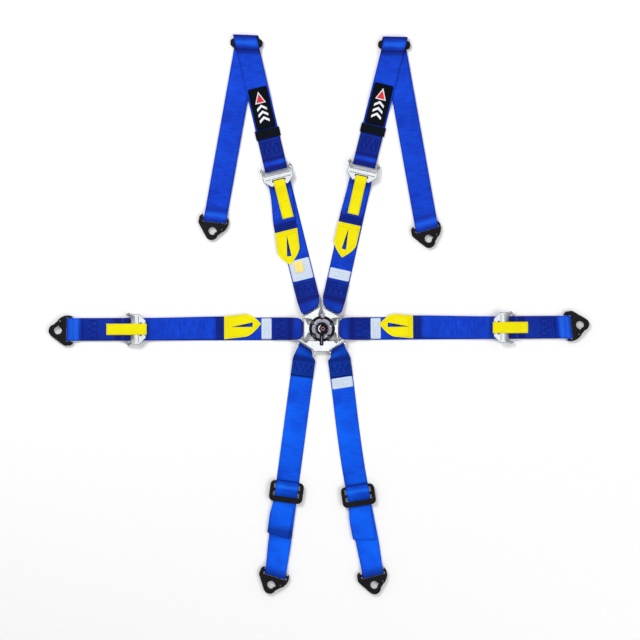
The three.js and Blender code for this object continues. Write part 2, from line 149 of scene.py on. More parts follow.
def node(mat, kind, inputs=(), **settings):
    made = mat.node_tree.nodes.new(kind)
    for key, value in settings.items():
        setattr(made, key, value)
    for key, value in dict(inputs).items():
        if isinstance(value, bpy.types.NodeSocket):
            mat.node_tree.links.new(value, made.inputs[key])
        else:
            made.inputs[key].default_value = value
    return made


def ramp(mat, factor, low, high, start=0.3, end=0.7):
    made = node(mat, "ShaderNodeValToRGB", {"Fac": factor})
    made.color_ramp.elements[0].position = start
    made.color_ramp.elements[0].color = (*low, 1)
    made.color_ramp.elements[1].position = end
    made.color_ramp.elements[1].color = (*high, 1)
    return made.outputs["Color"]


def link(mat, source, target):
    mat.node_tree.links.new(source, target)


def maths(mat, operation, *values):
    inputs = dict(enumerate(values))
    return node(mat, "ShaderNodeMath", inputs, operation=operation).outputs[0]


def noise(mat, where, scale, detail):
    inputs = {"Vector": where, "Scale": scale, "Detail": detail}
    return node(mat, "ShaderNodeTexNoise", inputs).outputs["Fac"]


def ridges(mat, belt, direction, period):
    """Even ridges that follow each other a period apart, in metres."""
    inputs = {"Vector": belt, "Scale": math.tau / 20 / period, "Distortion": 0.4}
    return node(mat, "ShaderNodeTexWave", inputs, bands_direction=direction).outputs["Fac"]


def tinted(mat, factor, base, colour):
    """The base, turned to one colour as the factor rises to 1."""
    inputs = {"Factor": factor, "A": base, "B": (*colour, 1)}
    return node(mat, "ShaderNodeMix", inputs, data_type="RGBA").outputs["Result"]


def bumped(mat, height, strength, distance, normal=None):
    inputs = {"Height": height, "Strength": strength, "Distance": distance}
    if normal is not None:
        inputs["Normal"] = normal
    return node(mat, "ShaderNodeBump", inputs).outputs[0]


def woven_tone(mat, belt, height, patchy, streak):
    """How light the webbing is: painted shade in the weave's grooves and lighter raised threads,
    slow and broad patches, and lines across.
    """
    slow, broad = noise(mat, belt, 50, 4), noise(mat, belt, 13, 1)
    patches = maths(mat, "MULTIPLY_ADD", broad, patchy, 0.15 - patchy / 2)
    patches = maths(mat, "MULTIPLY_ADD", slow, 0.3, patches)
    drawn_out = node(mat, "ShaderNodeVectorMath", {0: belt, 1: (1, 0.16, 1)},
                     operation="MULTIPLY").outputs[0]
    lines = noise(mat, drawn_out, 260, 2)
    lines = maths(mat, "MULTIPLY_ADD", lines, streak, -streak / 2)
    return maths(mat, "MULTIPLY_ADD", height, 0.35, maths(mat, "ADD", patches, lines))


def woven(name, dark, light, rib=0.0022, pick=0.0013, depth=0.5, gloss=0.08, patchy=0.4,
          streak=0.0):
    """Narrow woven webbing. Its per-point attribute darkens sewn zones and the edges, paints shade
    at folds, and paints a highlight where it is negative.
    """
    mat, shader = material(name, light, 0.6, Specular_IOR_Level=gloss)
    belt = node(mat, "ShaderNodeAttribute", attribute_name="belt").outputs["Vector"]
    ribs, picks = ridges(mat, belt, "Y", rib), ridges(mat, belt, "X", pick)
    height = maths(mat, "MULTIPLY_ADD", picks, 0.4, maths(mat, "MULTIPLY", ribs, 0.6))
    plain = ramp(mat, woven_tone(mat, belt, height, patchy, streak), dark, light, 0.2, 0.7)
    sewn = node(mat, "ShaderNodeAttribute", attribute_name="sewn").outputs["Fac"]
    # Painted shade colour where the attribute is positive, painted highlight colour where it is
    # negative.
    shadow = [c * share for c, share in zip(light, (0.5, 0.14, 0.22))]
    painted_highlight = [min(c * 1.25 + add, 1) for c, add in zip(light, (0.012, 0.13, 0.08))]
    shaded = tinted(mat, sewn, plain, shadow)
    lit = tinted(mat, maths(mat, "MULTIPLY", sewn, -1.0), shaded, painted_highlight)
    link(mat, lit, shader.inputs["Base Color"])
    link(mat, bumped(mat, height, depth, 0.0004), shader.inputs["Normal"])
    return mat


def painted_rim_mask(mat, radius):
    """1 on the turned-over edges, 0 on flat faces."""
    rounded = node(mat, "ShaderNodeBevel", {"Radius": radius}, samples=6).outputs[0]
    flat = node(mat, "ShaderNodeNewGeometry").outputs["True Normal"]
    along = node(mat, "ShaderNodeVectorMath", {0: rounded, 1: flat}, operation="DOT_PRODUCT")
    inputs = {"Value": along.outputs["Value"], "From Min": 0.999, "From Max": 0.95}
    return node(mat, "ShaderNodeMapRange", inputs).outputs[0]


def hard(name, dark, light, rough, metallic, grain=900, depth=0.12, edge=0.0006, warp=0.0,
         rim=None, **fixed):
    """Metal or moulded surface with softened edges, fine grain and uneven gloss.

    With rim, the turned-over edges take that darker colour, a painted dark reflection that
    outlines the metal.
    """
    mat, shader = material(name, light, rough, metallic, **fixed)
    where = node(mat, "ShaderNodeTexCoord").outputs["Object"]
    fine, slow = noise(mat, where, grain, 3), noise(mat, where, 70, 5)
    colour = ramp(mat, slow, dark, light)
    if rim:
        # painted dark reflection on the turned-over edges
        colour = tinted(mat, painted_rim_mask(mat, 1.6 * edge), colour, rim)
    link(mat, colour, shader.inputs["Base Color"])
    spread = {"Value": slow, "From Min": 0.3, "From Max": 0.7,
              "To Min": rough * 0.8, "To Max": rough * 1.25}
    gloss = node(mat, "ShaderNodeMapRange", spread).outputs[0]
    link(mat, gloss, shader.inputs["Roughness"])
    normal = node(mat, "ShaderNodeBevel", {"Radius": edge}, samples=4).outputs[0]
    if warp:
        normal = bumped(mat, noise(mat, where, 45, 1), warp, 0.004, normal)
    link(mat, bumped(mat, fine, depth, 0.0002, normal), shader.inputs["Normal"])
    return mat


BLUE = woven("blue_webbing", (0.001, 0.018, 0.32), (0.006, 0.074, 0.74), depth=0.8,
             streak=0.45)
BRIGHT = woven("bright_blue_webbing", (0.001, 0.04, 0.52), (0.002, 0.13, 0.95), patchy=0.8,
               streak=0.35)
YELLOW = woven("yellow_webbing", (0.74, 0.63, 0.0), (0.87, 0.8, 0.002), rib=0.0026, depth=0.2)
BAND = woven("black_elastic", (0.0015, 0.003, 0.006), (0.006, 0.008, 0.014), rib=0.0018,
             gloss=0.03)
PATCH = woven("black_patch", (0.001, 0.002, 0.004), (0.004, 0.006, 0.011), rib=0.001,
              depth=0.15, gloss=0.03)
LABEL = woven("pale_label", (0.5, 0.6, 0.74), (0.64, 0.72, 0.84), rib=0.0009, depth=0.12)
CREAM = woven("cream_label", (0.8, 0.6, 0.16), (0.93, 0.78, 0.3), rib=0.0009, depth=0.12)
THREAD = woven("dark_thread", (0.001, 0.002, 0.04), (0.002, 0.006, 0.1), rib=0.0008)
GOLD_THREAD = woven("yellow_thread", (0.74, 0.56, 0.0), (0.86, 0.74, 0.01), rib=0.0008)
PALE_THREAD = woven("pale_thread", (0.22, 0.27, 0.36), (0.36, 0.42, 0.52), rib=0.0008)
BLACK = hard("black_powder_coat", (0.002, 0.002, 0.003), (0.005, 0.005, 0.008), 0.42, 0.0,
             depth=0.3, Specular_IOR_Level=0.16)
GLOSS = hard("black_gloss", (0.001, 0.001, 0.002), (0.003, 0.003, 0.005), 0.24, 0.0,
             Specular_IOR_Level=0.14)
# The rim colours below are painted dark reflections on the edges of the bright metals.
SATIN = hard("satin_aluminium", (0.72, 0.76, 0.8), (0.88, 0.91, 0.94), 0.22, 1.0, warp=0.1,
             edge=0.0014, rim=(0.06, 0.065, 0.07))
CHROME = hard("chrome", (0.78, 0.82, 0.86), (0.92, 0.95, 0.97), 0.12, 1.0, depth=0.03,
              warp=0.14, edge=0.0014, rim=(0.05, 0.055, 0.06))
FACE = hard("lavender_grey", (0.27, 0.27, 0.36), (0.4, 0.4, 0.5), 0.36, 0.4, warp=0.05)
STEEL = hard("dark_steel", (0.05, 0.05, 0.055), (0.14, 0.145, 0.15), 0.3, 1.0)
# Pale print for the badge's marks, also used for the painted reflection on the buckle's cap.
PALE_PRINT_AND_REFLECTION = hard("pale_print_and_painted_reflection", (0.7, 0.7, 0.74), (0.85, 0.85, 0.9), 0.5, 0.0)
RED_PRINT = hard("red_print", (0.5, 0.005, 0.015), (0.65, 0.01, 0.025), 0.5, 0.0)
ROSE_PRINT = hard("rose_print", (0.25, 0.1, 0.14), (0.42, 0.2, 0.25), 0.5, 0.0)
FINISH_OF = {
    "webbing": BLUE,
    "yellow_tab": YELLOW,
    "black_hardware": BLACK,
    "black_ring": GLOSS,
    "satin_aluminium": SATIN,
    "chrome": CHROME,
    "steel": STEEL,
    "face": FACE,
}


# ---- mesh making ----
def piece(name, verts, faces, mat, body=None, belt=None, soft_edges=True, sewn=None):
    mesh = bpy.data.meshes.new(name)
    mesh.from_pydata([tuple(v) for v in verts], [], faces)
    made = bmesh.new()
    made.from_mesh(mesh)
    bmesh.ops.recalc_face_normals(made, faces=made.faces)
    made.to_mesh(mesh)
    made.free()
    if belt:
        store = mesh.attributes.new("belt", "FLOAT_VECTOR", "POINT")
        for item, value in zip(store.data, belt):
            item.vector = value
        # Per-point darkening for sewn zones and edges, painted shade at folds, and a painted
        # highlight where negative.
        store = mesh.attributes.new("sewn", "FLOAT", "POINT")
        for item, value in zip(store.data, sewn or []):
            item.value = value
    for face in mesh.polygons:
        face.use_smooth = soft_edges
    mesh.materials.append(mat)
    obj = bpy.data.objects.new(name, mesh)
    bpy.context.collection.objects.link(obj)
    if body:
        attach(obj, body)
    return obj


def loft(rings, closed_ends=True):
    """Faces that join equal rings of points."""
    count = len(rings[0])
    faces = []
    for i in range(len(rings) - 1):
        for k in range(count):
            n = (k + 1) % count
            faces.append((i * count + k, i * count + n, (i + 1) * count + n, (i + 1) * count + k))
    if closed_ends:
        faces.append(tuple(reversed(range(count))))
        faces.append(tuple(range((len(rings) - 1) * count, len(rings) * count)))
    return faces


def points_of(rings):
    return [point for ring in rings for point in ring]


def lofted(name, rings, mat, body, belt=None, **settings):
    """A piece whose skin joins equal rings of points."""
    return piece(name, points_of(rings), loft(rings), mat, body, belt, **settings)


def side_arc(x, z, radius, start, end, steps):
    return [(x + radius * math.cos(math.radians(start + (end - start) * i / steps)),
             z + radius * math.sin(math.radians(start + (end - start) * i / steps)))
            for i in range(steps + 1)]


def refined(path, spacing=4):
    fine = [path[0]]
    for (x0, z0), (x1, z1) in zip(path, path[1:]):
        parts = max(1, math.ceil(math.hypot(x1 - x0, z1 - z0) / spacing))
        fine += [(x0 + (x1 - x0) * k / parts, z0 + (z1 - z0) * k / parts)
                 for k in range(1, parts + 1)]
    return fine


ACROSS = 12  # strips across a belt


def selvedge(v):
    """Share of the webbing's thickness at v, from 0 in the middle to 1 at an edge."""
    if abs(v) > 0.999:
        return 0.5
    return 0.9 if abs(v) > 0.8 else 1


def ribbon(name, place, path, mat, body, width=WIDTH, thick=THICK, aside=None, dark=None,
           oblique=0):
    """Webbing with rounded selvedges along a side-view path. Returns the piece and its length.

    aside(part, x) moves it sideways, dark(x, z) paints shade and highlight on it, and oblique
    skews its last end.
    """
    points = [Vector(p) for p in refined(path)]
    rings, belt, shade, run = [], [], [], 0
    phase = random.uniform(0, math.tau)
    for i, p in enumerate(points):
        before = (p - points[max(i - 1, 0)]).normalized()
        after = (points[min(i + 1, len(points) - 1)] - p).normalized()
        along = (before + after).normalized()
        if i:
            run += (p - points[i - 1]).length
        stretch = thick / 2 / max(along.dot(before if i else after), 0.5)
        shift = aside(i / (len(points) - 1), p.x) if aside else 0
        wave = 0.1 * math.sin(run / 23 + phase) + 0.06 * math.sin(run / 9 + 2 * phase)
        ring = []
        for face in (1, -1):
            for k in range(ACROSS + 1):
                v = (2 * k / ACROSS - 1) * face
                lift = face * stretch * selvedge(v) * 0.96 + wave * (1 - v * v) * 0.5
                x, z = p.x - along.y * lift, p.y + along.x * lift
                tilt = v * oblique * smooth(i, len(points) - 6, len(points) - 1)
                ring.append(place.on(x + tilt, v * width / 2, z, shift))
                belt.append((run * MM, v * width / 2 * MM, 0))
                # Painted shade from dark(x, z), negative for a painted highlight, and darker
                # towards the edges.
                shade.append((dark(p.x, p.y) if dark else 0) + 0.3 * smooth(abs(v), 0.8, 1))
        rings.append(ring)
    return lofted(name, rings, mat, body, belt, sewn=shade), run


def patch(name, place, s0, s1, half, height, mat, body, thick=0.5, aside=0, corner=2):
    """A thin sewn-on rectangle with rounded corners that follows the belt under it."""
    rows = 28
    rings, belt = [], []
    for i in range(rows + 1):
        s = s0 + (s1 - s0) * i / rows
        inset = max(0, corner - min(s - s0, s1 - s))
        reach = half - (corner - math.sqrt(max(corner ** 2 - inset ** 2, 0)))
        ring = []
        for z in (thick, 0):
            for k in range(9):
                v = (k / 4 - 1) * (1 if z else -1)
                drop = 0.25 * thick if abs(v) == 1 and z else 0
                ring.append(place.on(s, v * reach, height(s) + z - drop, aside))
                belt.append((s * MM, v * reach * MM, 0))
        rings.append(ring)
    return lofted(name, rings, mat, body, belt)


def in_order(made):
    """A mesh's corners and faces, in an order that is the same each run."""
    corners = sorted(made.verts, key=lambda v: tuple(v.co))
    for index, corner in enumerate(corners):
        corner.index = index
    faces = sorted(tuple(v.index for v in face.verts) for face in made.faces)
    return [v.co.copy() for v in corners], faces


def flat_piece(name, place, loops, height, mat, body, thick=1.0, aside=None):
    """A cut-out shape with holes: loops of (along, across), the first one outermost."""
    made = bmesh.new()
    for loop in loops:
        ring = [made.verts.new((x, y, 0)) for x, y in loop]
        for a, b in zip(ring, ring[1:] + ring[:1]):
            made.edges.new((a, b))
    bmesh.ops.triangle_fill(made, edges=made.edges[:], use_beauty=True)
    grown = bmesh.ops.extrude_face_region(made, geom=made.faces[:])
    for item in grown["geom"]:
        if isinstance(item, bmesh.types.BMVert):
            item.co.z = thick
    flat, faces = in_order(made)
    made.free()
    verts = [place.on(c.x, c.y, height(c.x) + c.z, aside(c.x) if aside else 0) for c in flat]
    return piece(name, verts, faces, mat, body, [(c.x * MM, c.y * MM, 0) for c in flat],
                 soft_edges=False)


def dense(loop, spacing=4):
    out = []
    for (x0, y0), (x1, y1) in zip(loop, loop[1:] + loop[:1]):
        parts = max(1, round(math.hypot(x1 - x0, y1 - y0) / spacing))
        out += [(x0 + (x1 - x0) * k / parts, y0 + (y1 - y0) * k / parts) for k in range(parts)]
    return out


STITCH, PITCH = 2.6, 3.6


def stitches(name, place, lines, height, mat, body, aside=None, girth=1.0):
    """Rows of separate thread stitches that stand a little proud of the belt."""
    verts, faces, belt = [], [], []
    for (x0, y0), (x1, y1) in lines:
        length = math.hypot(x1 - x0, y1 - y0)
        ux, uy = (x1 - x0) / length, (y1 - y0) / length
        for n in range(max(1, int(length / PITCH))):
            rings = []
            for part, fill in ((0, 0.25), (0.25, 1), (0.75, 1), (1, 0.25)):
                along = n * PITCH + part * STITCH
                ring = []
                for k in range(6):
                    a = k * math.pi / 3
                    side, up = 0.95 * fill * girth * math.cos(a), 0.4 * fill * math.sin(a)
                    x, y = x0 + ux * along - uy * side, y0 + uy * along + ux * side
                    shift = aside(x) if aside else 0
                    ring.append(place.on(x, y, height(x) + 0.12 + up, shift))
                    belt.append((x * MM, y * MM, 0))
                rings.append(ring)
            faces += [tuple(i + len(verts) for i in f) for f in loft(rings)]
            verts += points_of(rings)
    return piece(name, verts, faces, mat, body, belt)


def outline(s0, s1, half):
    """The four sides of a rectangle, as lines."""
    corners = [(s0, -half), (s1, -half), (s1, half), (s0, half)]
    return [*zip(corners, corners[1:] + corners[:1])]


def zigzag(s0, s1, half):
    """Sewn box with a zigzag of seams inside."""
    turns = [(s1 - 3 if n % 2 else s0 + 3, half * (n / 3 - 1)) for n in range(7)]
    return [*outline(s0, s1, half), *zip(turns, turns[1:])]


def lathe(name, place, x, y, profile, mat, body, sides=48):
    """A turned part; profile is (radius, z) from the bottom centre to the top centre."""
    rings = [[place.at(x + r * math.cos(math.tau * k / sides),
                       y + r * math.sin(math.tau * k / sides), z) for k in range(sides)]
             for r, z in profile]
    return lofted(name, rings, mat, body)


def rod(name, place, x, half, z, radius, mat, body):
    """A round-ended bar across a frame."""
    rings = []
    for y, girth in ((-half, 0.3), (-half + 0.7, 0.85), (-half + 1.6, 1),
                     (half - 1.6, 1), (half - 0.7, 0.85), (half, 0.3)):
        rings.append([place.at(x + radius * girth * math.cos(math.tau * k / 12), y,
                               z + radius * girth * math.sin(math.tau * k / 12))
                      for k in range(12)])
    return lofted(name, rings, mat, body)


# ---- side-view paths, as in the CAD model ----
def tongue_wrap():
    """Free end, round a tongue's bar, and back under itself."""
    return [(SEWN, LAYER[1]), (38, LAYER[1]), *side_arc(TONGUE_BAR, 9, 3.95, 75, 285, 14),
            (33, LAYER[0])]


def bracket_wrap(end):
    """From under a bracket's bar, round it and back on top."""
    fuller = 1.55  # the fold reaches this much further out than it is high
    arc = side_arc(0, BRACKET_MID, BRACKET_MID - HALF, -90, 90, 12)
    return [*[(end + BRACKET_BAR + fuller * x, z) for x, z in arc],
            (end - 7, 2 * BRACKET_MID - HALF - 0.3), (end - 32, LAYER[1])]


def pin_wrap(at):
    """Round an adjuster's pin, from the layer above to the one below."""
    return [(at + 24, LAYER[1]), *side_arc(at, PIN_Z, 3.55, 75, 285, 16), (at + 16, LAYER[0])]


def slot_zone(skew, bunched=47.5):
    """Where a belt turns to a skewed bar, bunched to the slot's width."""
    return (1, 30, skew, bunched * math.cos(math.radians(skew)))


def line(x, at, width):
    """1 at a fold or seam across the belt, fading to 0 within its width."""
    return 1 - smooth(abs(x - at), 0, width)


def pin_shade(x):
    """The sewn loop at an adjuster's pin: darker where sewn, with a painted highlight on the roll
    between two folds of painted shade.
    """
    sewn = 0.75 * (1 - smooth(x, SEWN - 2, SEWN + 3))
    return sewn + 0.4 * line(x, 22, 6) - 0.85 * line(x, 13, 8) + 0.4 * line(x, 3, 6)


def round_about(angle, radius):
    return radius * math.cos(math.radians(angle)), radius * math.sin(math.radians(angle))


# ---- parts that several belts share ----
def arrow_tab(belt, place, body, span, aside):
    """Pointed tab with a slit and its border of stitches."""
    start, end = span
    low, side, tip = 1.9, 25, 34

    def height(x):
        return low + (TOP[1] + 0.2 - low) * smooth(x, start, start + 31)

    flank = [(start + tip * n / 8, side * (1 - (1 - n / 8) ** 1.7)) for n in range(1, 8)]
    edge = dense([(start, 0), *[(x, -y) for x, y in flank], (start + tip, -side), (end, -side),
                  (end, side), (start + tip, side), *reversed(flank)])
    slit = dense([(start + 18, -5), (start + 19, 5), (start + 64, 0.3), (start + 64, -0.3)])
    arrow = flat_piece(f"{belt}_arrow", place, [edge, slit], height, YELLOW, body, 1.0, aside)
    broad, last = start + tip + 1, end - 3
    border = [((start + 7, -3), (broad, -20)), ((start + 7, 3), (broad, 20)),
              ((broad, -22), (last, -22)), ((broad, 22), (last, 22)),
              ((last, -22), (last, 22)), ((end - 9, -22), (end - 9, 22))]
    thread = stitches(f"{belt}_arrow_thread", place, border, lambda x: height(x) + 1,
                      GOLD_THREAD, body, aside)
    return [arrow, thread]


def pale_label(belt, place, body, first, last):
    """Pale label with blank rows in place of print."""
    tag = patch(f"{belt}_label", place, first, last, 23, lambda s: TOP[0] + 0.1, LABEL, body, 0.4)
    rows = [((first + 5 * n + 6, -17), (first + 5 * n + 6, 17 - 9 * (n % 2)))
            for n in range((last - first) // 5 - 1)]
    print_rows = stitches(f"{belt}_label_thread", place, rows, lambda x: TOP[0] + 0.3,
                          PALE_THREAD, body, girth=0.5)
    return [tag, print_rows]


def lower_belt(belt, body, node_name, facts, label):
    """From the tongue's bar round the lock bar, with the tail sewn back under an arrow tab."""
    angle, reach = TONGUES[belt]
    place = Place(*round_about(angle, reach), facts["heading"],
                  [slot_zone(angle - facts["heading"])], corner=14)
    bar = facts["adjuster"] - LOCK_BACK
    start, end = facts["arrow"]
    drift, lean = facts["drift"], facts["lean"]
    turned_back = False

    def aside(x):
        return drift * (1 - smooth(x, end, bar - 20)) + lean * max(0, end - x)

    def tail_aside(part, x):
        nonlocal turned_back
        turned_back = turned_back or x > bar + 2
        return aside(x) if turned_back and x < bar - 18 else 0

    # Painted shade: the sewn loop darker with a painted highlight and a dark fold line, the layer
    # under it shaded, a dark band behind the arrow tab, and a dark fold line before the lock bar.
    def shade(x, z):
        if x < SEWN + 3:
            loop = 0.7 * (1 - smooth(x, SEWN - 2, SEWN + 3)) - 0.3 * line(x, 12, 14)
            return loop + 0.5 * line(x, 28, 9) if z > 2 else 0.5
        return 0.8 * (z > 2) * (1 - smooth(x, end + 14, end + 26)) + 0.5 * line(x, bar - 24, 9)

    path = [*tongue_wrap(), *side_arc(bar, LOCK_Z, LOCK_RADIUS + GAP + HALF, -90, 90, 14),
            (bar - 21, 5.2), (bar - 39, LAYER[1]), (start + 31, LAYER[1])]
    web, length = ribbon(f"{belt}_belt", place, path, BLUE, body, aside=tail_aside, dark=shade)
    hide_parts(node_name)
    tab = arrow_tab(belt, place, body, facts["arrow"], aside)
    rows = [((end + d, -21), (end + d, 21)) for d in (6, 11, 16)]
    tail = stitches(f"{belt}_tail_thread", place, rows, lambda x: TOP[1], THREAD, body, aside)
    sewn = stitches(f"{belt}_loop_thread", place, zigzag(37, SEWN - 4, 19), lambda x: TOP[1],
                    THREAD, body)
    extras = [*tab, tail, sewn, *pale_label(belt, place, body, *label)]
    return place


def pull_tab(belt, frame_place, bodies, reach=None):
    """Towards the buckle, or folded back outwards as far as reach."""
    under, over, rest = 10.1, 14.1, TOP[1] + 1.0  # heights: below and above the frame, on the belt
    front, back = -27, -39.3  # where it turns round the frame's cross bar
    if reach:
        path = [(front, over - 1.6), (front, under + 0.6), (front - 0.6, under),
                (back + 0.5, under), (back, under + 0.5), (back, over - 0.5), (back + 0.5, over),
                (-6, over), (7, 11.6), (26, rest + 0.4), (reach, rest)]
    else:
        path = [(-56, 5), (-41, 9), (-38, under), (front - 0.5, under), (front, under + 0.6),
                (front, over - 0.6), (front - 0.6, over), (-41, over), (-58, 6.6), (-70, rest),
                (-112, rest)]
    ends = (20, reach - 3) if reach else (-109, -74)
    width, thick = 25, 1.2
    tab, length = ribbon(f"{belt}_tab", frame_place, path, YELLOW,
                         None if reach else bodies[0], width=width, thick=thick)
    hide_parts(f"{belt}_pull_tab")
    first, last = ends
    thread = stitches(f"{belt}_tab_thread", frame_place,
                      [((first, -10), (last, -10)), ((first, 10), (last, 10)),
                       ((last, -10), (last, 10))], lambda x: thick / 2 + rest, GOLD_THREAD,
                      bodies[-1])
    if reach:
        frame_place.at(-6, 0, 12)
        frame_place.at(16, 0, 9)
        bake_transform(tab)


def adjuster(belt, place, body):
    """Raised ridges on an adjuster's frame."""
    for n, (x, half) in enumerate(((-13.5, 30), (-22, 29), (-35.5, 15))):
        rod(f"{belt}_ridge_{n + 1}", place, x, half, 13.1, 0.75, SATIN, body)


def rivet(belt, place, hand):
    """The gate's rivet; hand is the side of the bracket that it is on."""
    dome = [(2.3, 8.4), (2.5, 8.9), (2.2, 9.4), (1.3, 9.75), (0.3, 9.85)]
    lathe(f"{belt}_rivet", place, 17, 17.5 * hand, dome, STEEL, f"{belt}_gate", 24)


# ---- belts ----
def cream_label(belt, place, body):
    patch(f"{belt}_cream_label", place, 89, 113, 10, lambda s: TOP[0] + 0.55, CREAM, body, 0.3,
          aside=3, corner=1)
    stitches(f"{belt}_cream_rows", place, [((n, 5), (n, 12)) for n in (92, 97, 102, 107)],
             lambda x: TOP[0] + 0.8, GOLD_THREAD, body)


def badge(belt, place, body, surface):
    """Black patch with three chevrons and a triangle."""
    black = patch(f"{belt}_patch", place, 90, 182, 21.5, lambda s: surface(s) + 0.15, PATCH,
                  body, 0.6)
    rim = stitches(f"{belt}_patch_thread", place, outline(92, 180, 19.5),
                   lambda x: surface(x) + 0.75, BAND, body)
    shapes = [(PALE_PRINT_AND_REFLECTION, [(s, -11), (s + 8, 0), (s, 11), (s + 6, 11), (s + 14, 0), (s + 6, -11)])
              for s in (104, 117, 130)]
    shapes.append((PALE_PRINT_AND_REFLECTION, [(147, -12), (147, 12), (173, 0)]))
    shapes.append((RED_PRINT, [(149, -9), (149, 9), (168, 0)]))
    marks = [flat_piece(f"{belt}_mark_{n + 1}", place, [dense(shape, 2)],
                        lambda x: surface(x) + (1.0 if ink is RED_PRINT else 0.8), ink,
                        body, 0.15)
             for n, (ink, shape) in enumerate(shapes)]
    return [black, rim, *marks]


def upper_run(belt, place, top, skew):
    """The adjustable half: from the pin up and round the top slide."""
    body = f"{belt}_upper"
    over = SLIDE_TOP + GAP + HALF
    far = top + (SLIDE_EDGE + GAP + HALF) / math.cos(math.radians(skew))
    path = [(SEWN, LAYER[1]), *pin_wrap(0), (top - 150, LAYER[0]), (top - 125, LAYER[2]),
            (top - 29, LAYER[2]), (top - 18, over),
            *side_arc(far - 2.3, (over + LAYER[1]) / 2, (over - LAYER[1]) / 2, 90, -75, 8)]
    # Painted shade: darker sewn loop, painted shade and highlight at the pin, a dark line where
    # the sewing ends, and a painted shadow line under the roll.
    web, length = ribbon(f"{belt}_upper_belt", place, path, BLUE, body,
                         dark=lambda x, z: pin_shade(x) + 0.7 * line(x, SEWN + 3, 5)
                         + 0.8 * line(x, top - 20, 7))
    near, end, swell = top - 17, far + 0.9, 5.2
    middle, reach = (near + end) / 2, (end - near) / 2
    bulge = [(middle - reach * math.cos(math.radians(a)),
              over - 0.6 + swell * math.sin(math.radians(a))) for a in range(4, 177, 8)]
    # The roll gets a painted highlight along its middle and painted shade towards its ends.
    roll, roll_length = ribbon(
        f"{belt}_roll", place, bulge, BLUE, body,
        dark=lambda x, z: 1 - 1.3 * (1 - smooth(abs(x - middle), 1, reach)))
    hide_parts(f"{belt}_upper_webbing")

    def surface(s):
        return TOP[0] + (TOP[2] - TOP[0]) * min(max((s - top + 150) / 25, 0), 1)

    sewn = stitches(f"{belt}_upper_thread", place, zigzag(34, SEWN - 6, 17), lambda x: TOP[1],
                    THREAD, body)
    extras = [sewn, *badge(belt, place, body, surface)]
    keeper(belt, place, body)


def anchor_run(belt, slide_place, f):
    """From under the top slide to the anchor bracket."""
    far, turn = f["run"], f["axis"] + 180 - f["anchor"]
    zones = [(0, 60, turn, WIDTH), (far, 75, f["turn"], WIDTH)]
    place = slide_place.child(0, 0, f["anchor"] - f["axis"], zones)
    # the run starts just past the fold's own axis, so that no gap opens as it swings out
    path = [(-0.8 - FOLD, LAYER[1]), *reversed(bracket_wrap(far)), (16, LAYER[0])]
    # Painted shade at the folds near the bracket, with a painted highlight between them.
    web, length = ribbon(f"{belt}_anchor_belt", place, path, BLUE, f"{belt}_anchor",
                         aside=lambda part, x: min(x, 0) * math.tan(math.radians(turn)),
                         dark=lambda x, z: 0.5 * line(x, far - 27, 9) * (z > 2)
                         - 0.3 * line(x, far - 14, 8) + 0.55 * line(x, far - 2, 6))
    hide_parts(f"{belt}_anchor_webbing")
    rivet(belt, place.child(far, 0, f["turn"]), 1)


def shoulder(side, f):
    belt = f"shoulder_{side}"
    lower_body = f"{belt}_lower"
    label = (71, 117) if side == "left" else (71, 94)
    lower = lower_belt(belt, lower_body, f"{belt}_lower_webbing", f, label)
    if side == "left":
        cream_label(belt, lower, lower_body)
    frame_place = lower.child(f["adjuster"], 0, 0)
    adjuster(belt, frame_place, lower_body)
    pull_tab(belt, frame_place, [lower_body])

    top, skew = f["slide"], f["axis"] - f["upper"]
    zones = [(0, 45, f["heading"] - f["upper"], WIDTH), (top, 90, skew, WIDTH)]
    upper = lower.child(f["adjuster"], 0, f["upper"] - f["heading"], zones)
    upper_run(belt, upper, top, skew)
    anchor_run(belt, upper.child(top, 0, skew), f)


def keeper(belt, upper, body):
    """Elastic band over the belt, open below."""
    section = [(-27.5, 0.1), (-27.5, 2.2), (-26.6, 3.0), (26.6, 3.0), (27.5, 2.2), (27.5, 0.1),
               (26.3, 0.1), (26.3, 1.9), (-26.3, 1.9), (-26.3, 0.1)]
    start, wide, steps = 69, 20, 8
    rings, belt_at = [], []
    for i in range(steps + 1):
        s = start + wide * i / steps
        swell = 0.25 * math.sin(math.pi * i / steps)
        rings.append([upper.at(s, t, z + (swell if z > 1.5 else 0)) for t, z in section])
        belt_at += [(s * MM, t * MM, 0) for t, z in section]
    lofted(f"{belt}_keeper", rings, BAND, body, belt_at, soft_edges=False)


def lap(side, f):
    belt = f"lap_{side}"
    inner_body, outer_body = f"{belt}_inner", f"{belt}_outer"
    inner = lower_belt(belt, inner_body, f"{belt}_inner_webbing", f, (69, 91))
    frame_place = inner.child(f["adjuster"], 0, 0)
    outer = inner.child(f["adjuster"], 0, 0, [(f["outer"], 75, f["turn"], WIDTH)])
    adjuster(belt, frame_place, inner_body)
    pull_tab(belt, frame_place, [inner_body, outer_body], f["tab"])
    meet = f["outer"] - 32  # where the two ends of the loop are sewn together
    path = [(meet - 0.6, LAYER[1]), *pin_wrap(0), *bracket_wrap(f["outer"])[:-1],
            (meet, LAYER[1])]
    # Painted shade: darker up to where the ends are sewn together, the pin's painted shade and
    # highlight, a dark line past the join, and painted highlights on the loop round the bracket.
    web, length = ribbon(f"{belt}_outer_belt", outer, path, BLUE, outer_body,
                         dark=lambda x, z: 0.6 * (1 - smooth(x, meet - 2, meet + 3))
                         + pin_shade(x) * (x < 28) + 0.8 * line(x, meet + 4, 4)
                         - 0.4 * line(x, meet + 14, 9) - 0.3 * line(x, meet + 25, 7))
    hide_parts(f"{belt}_outer_webbing")
    seams = [*zigzag(meet - 32, meet - 8, 19), ((meet - 3, -22), (meet - 3, 22))]
    sewn = stitches(f"{belt}_outer_thread", outer, seams, lambda x: TOP[1], THREAD, outer_body)
    rivet(belt, outer.child(f["outer"], 0, f["turn"]), -1)


